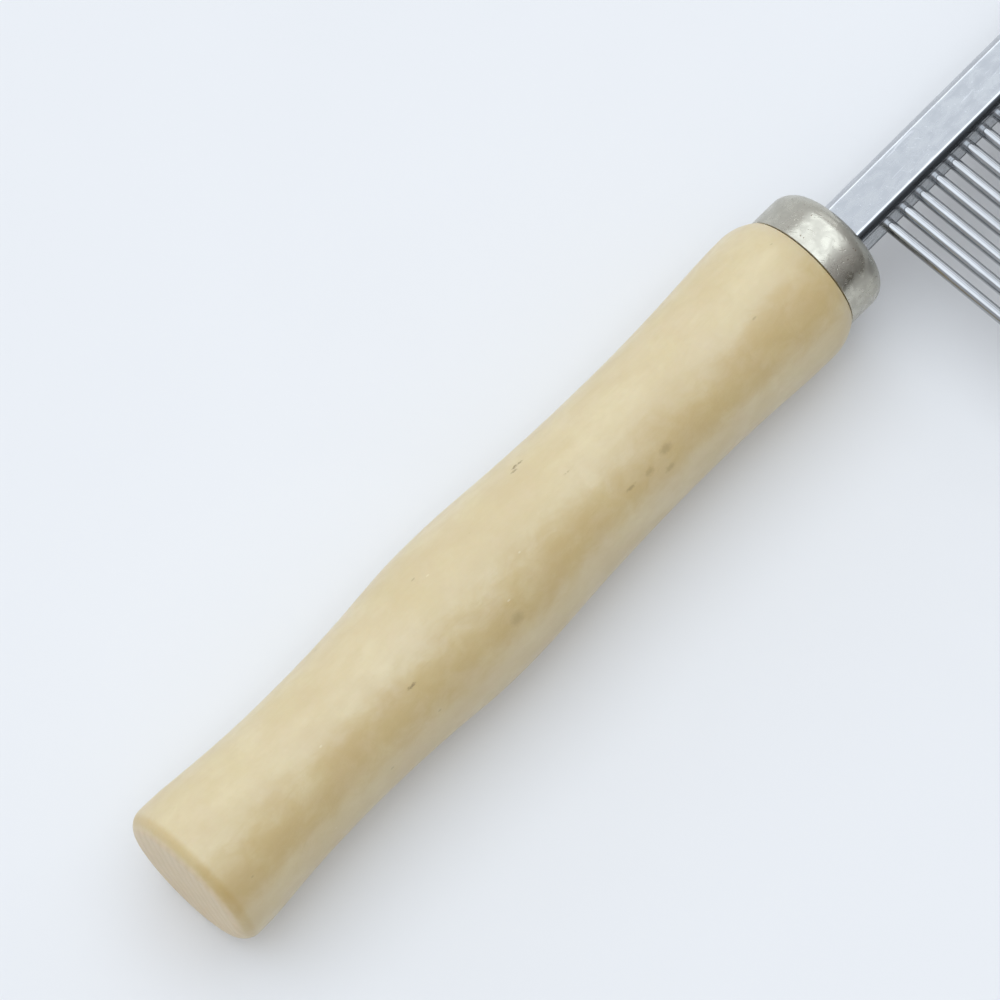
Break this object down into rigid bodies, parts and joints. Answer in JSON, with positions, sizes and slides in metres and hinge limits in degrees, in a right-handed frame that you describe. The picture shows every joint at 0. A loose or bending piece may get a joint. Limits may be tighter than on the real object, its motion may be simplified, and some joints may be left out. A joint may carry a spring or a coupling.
{
  "type": "pet grooming comb",
  "caption": "Grooming comb with a turned wooden handle, a pressed metal ferrule, a square steel bar and one row of round metal pins.",
  "frame": {"origin": "centre of the handle's flat butt end", "axes": "+X along the handle to the free end of the bar, -Y the way the pins point, +Z square to the plane of the comb"},
  "size_m": [0.2, 0.0432, 0.02],
  "materials": {
    "wood": "pale turned wood, lightly waxed",
    "ferrule_metal": "worn warm nickel plate on pressed steel",
    "bar_metal": "dull bright plate on drawn square steel",
    "pin_metal": "bright plate on round steel wire"
  },
  "bodies": {
    "root": {"handle": "wood", "ferrule": "ferrule_metal", "comb_bar": "bar_metal", "pin_01": "pin_metal", "pin_02": "pin_metal", "pin_03": "pin_metal", "pin_04": "pin_metal", "pin_05": "pin_metal", "pin_06": "pin_metal", "pin_07": "pin_metal", "pin_08": "pin_metal", "pin_09": "pin_metal", "pin_10": "pin_metal", "pin_11": "pin_metal", "pin_12": "pin_metal", "pin_13": "pin_metal", "pin_14": "pin_metal", "pin_15": "pin_metal", "pin_16": "pin_metal", "pin_17": "pin_metal", "pin_18": "pin_metal", "pin_19": "pin_metal", "pin_20": "pin_metal", "pin_21": "pin_metal", "pin_22": "pin_metal", "pin_23": "pin_metal", "pin_24": "pin_metal", "pin_25": "pin_metal", "pin_26": "pin_metal", "pin_27": "pin_metal", "pin_28": "pin_metal", "pin_29": "pin_metal"}
  },
  "joints": []
}
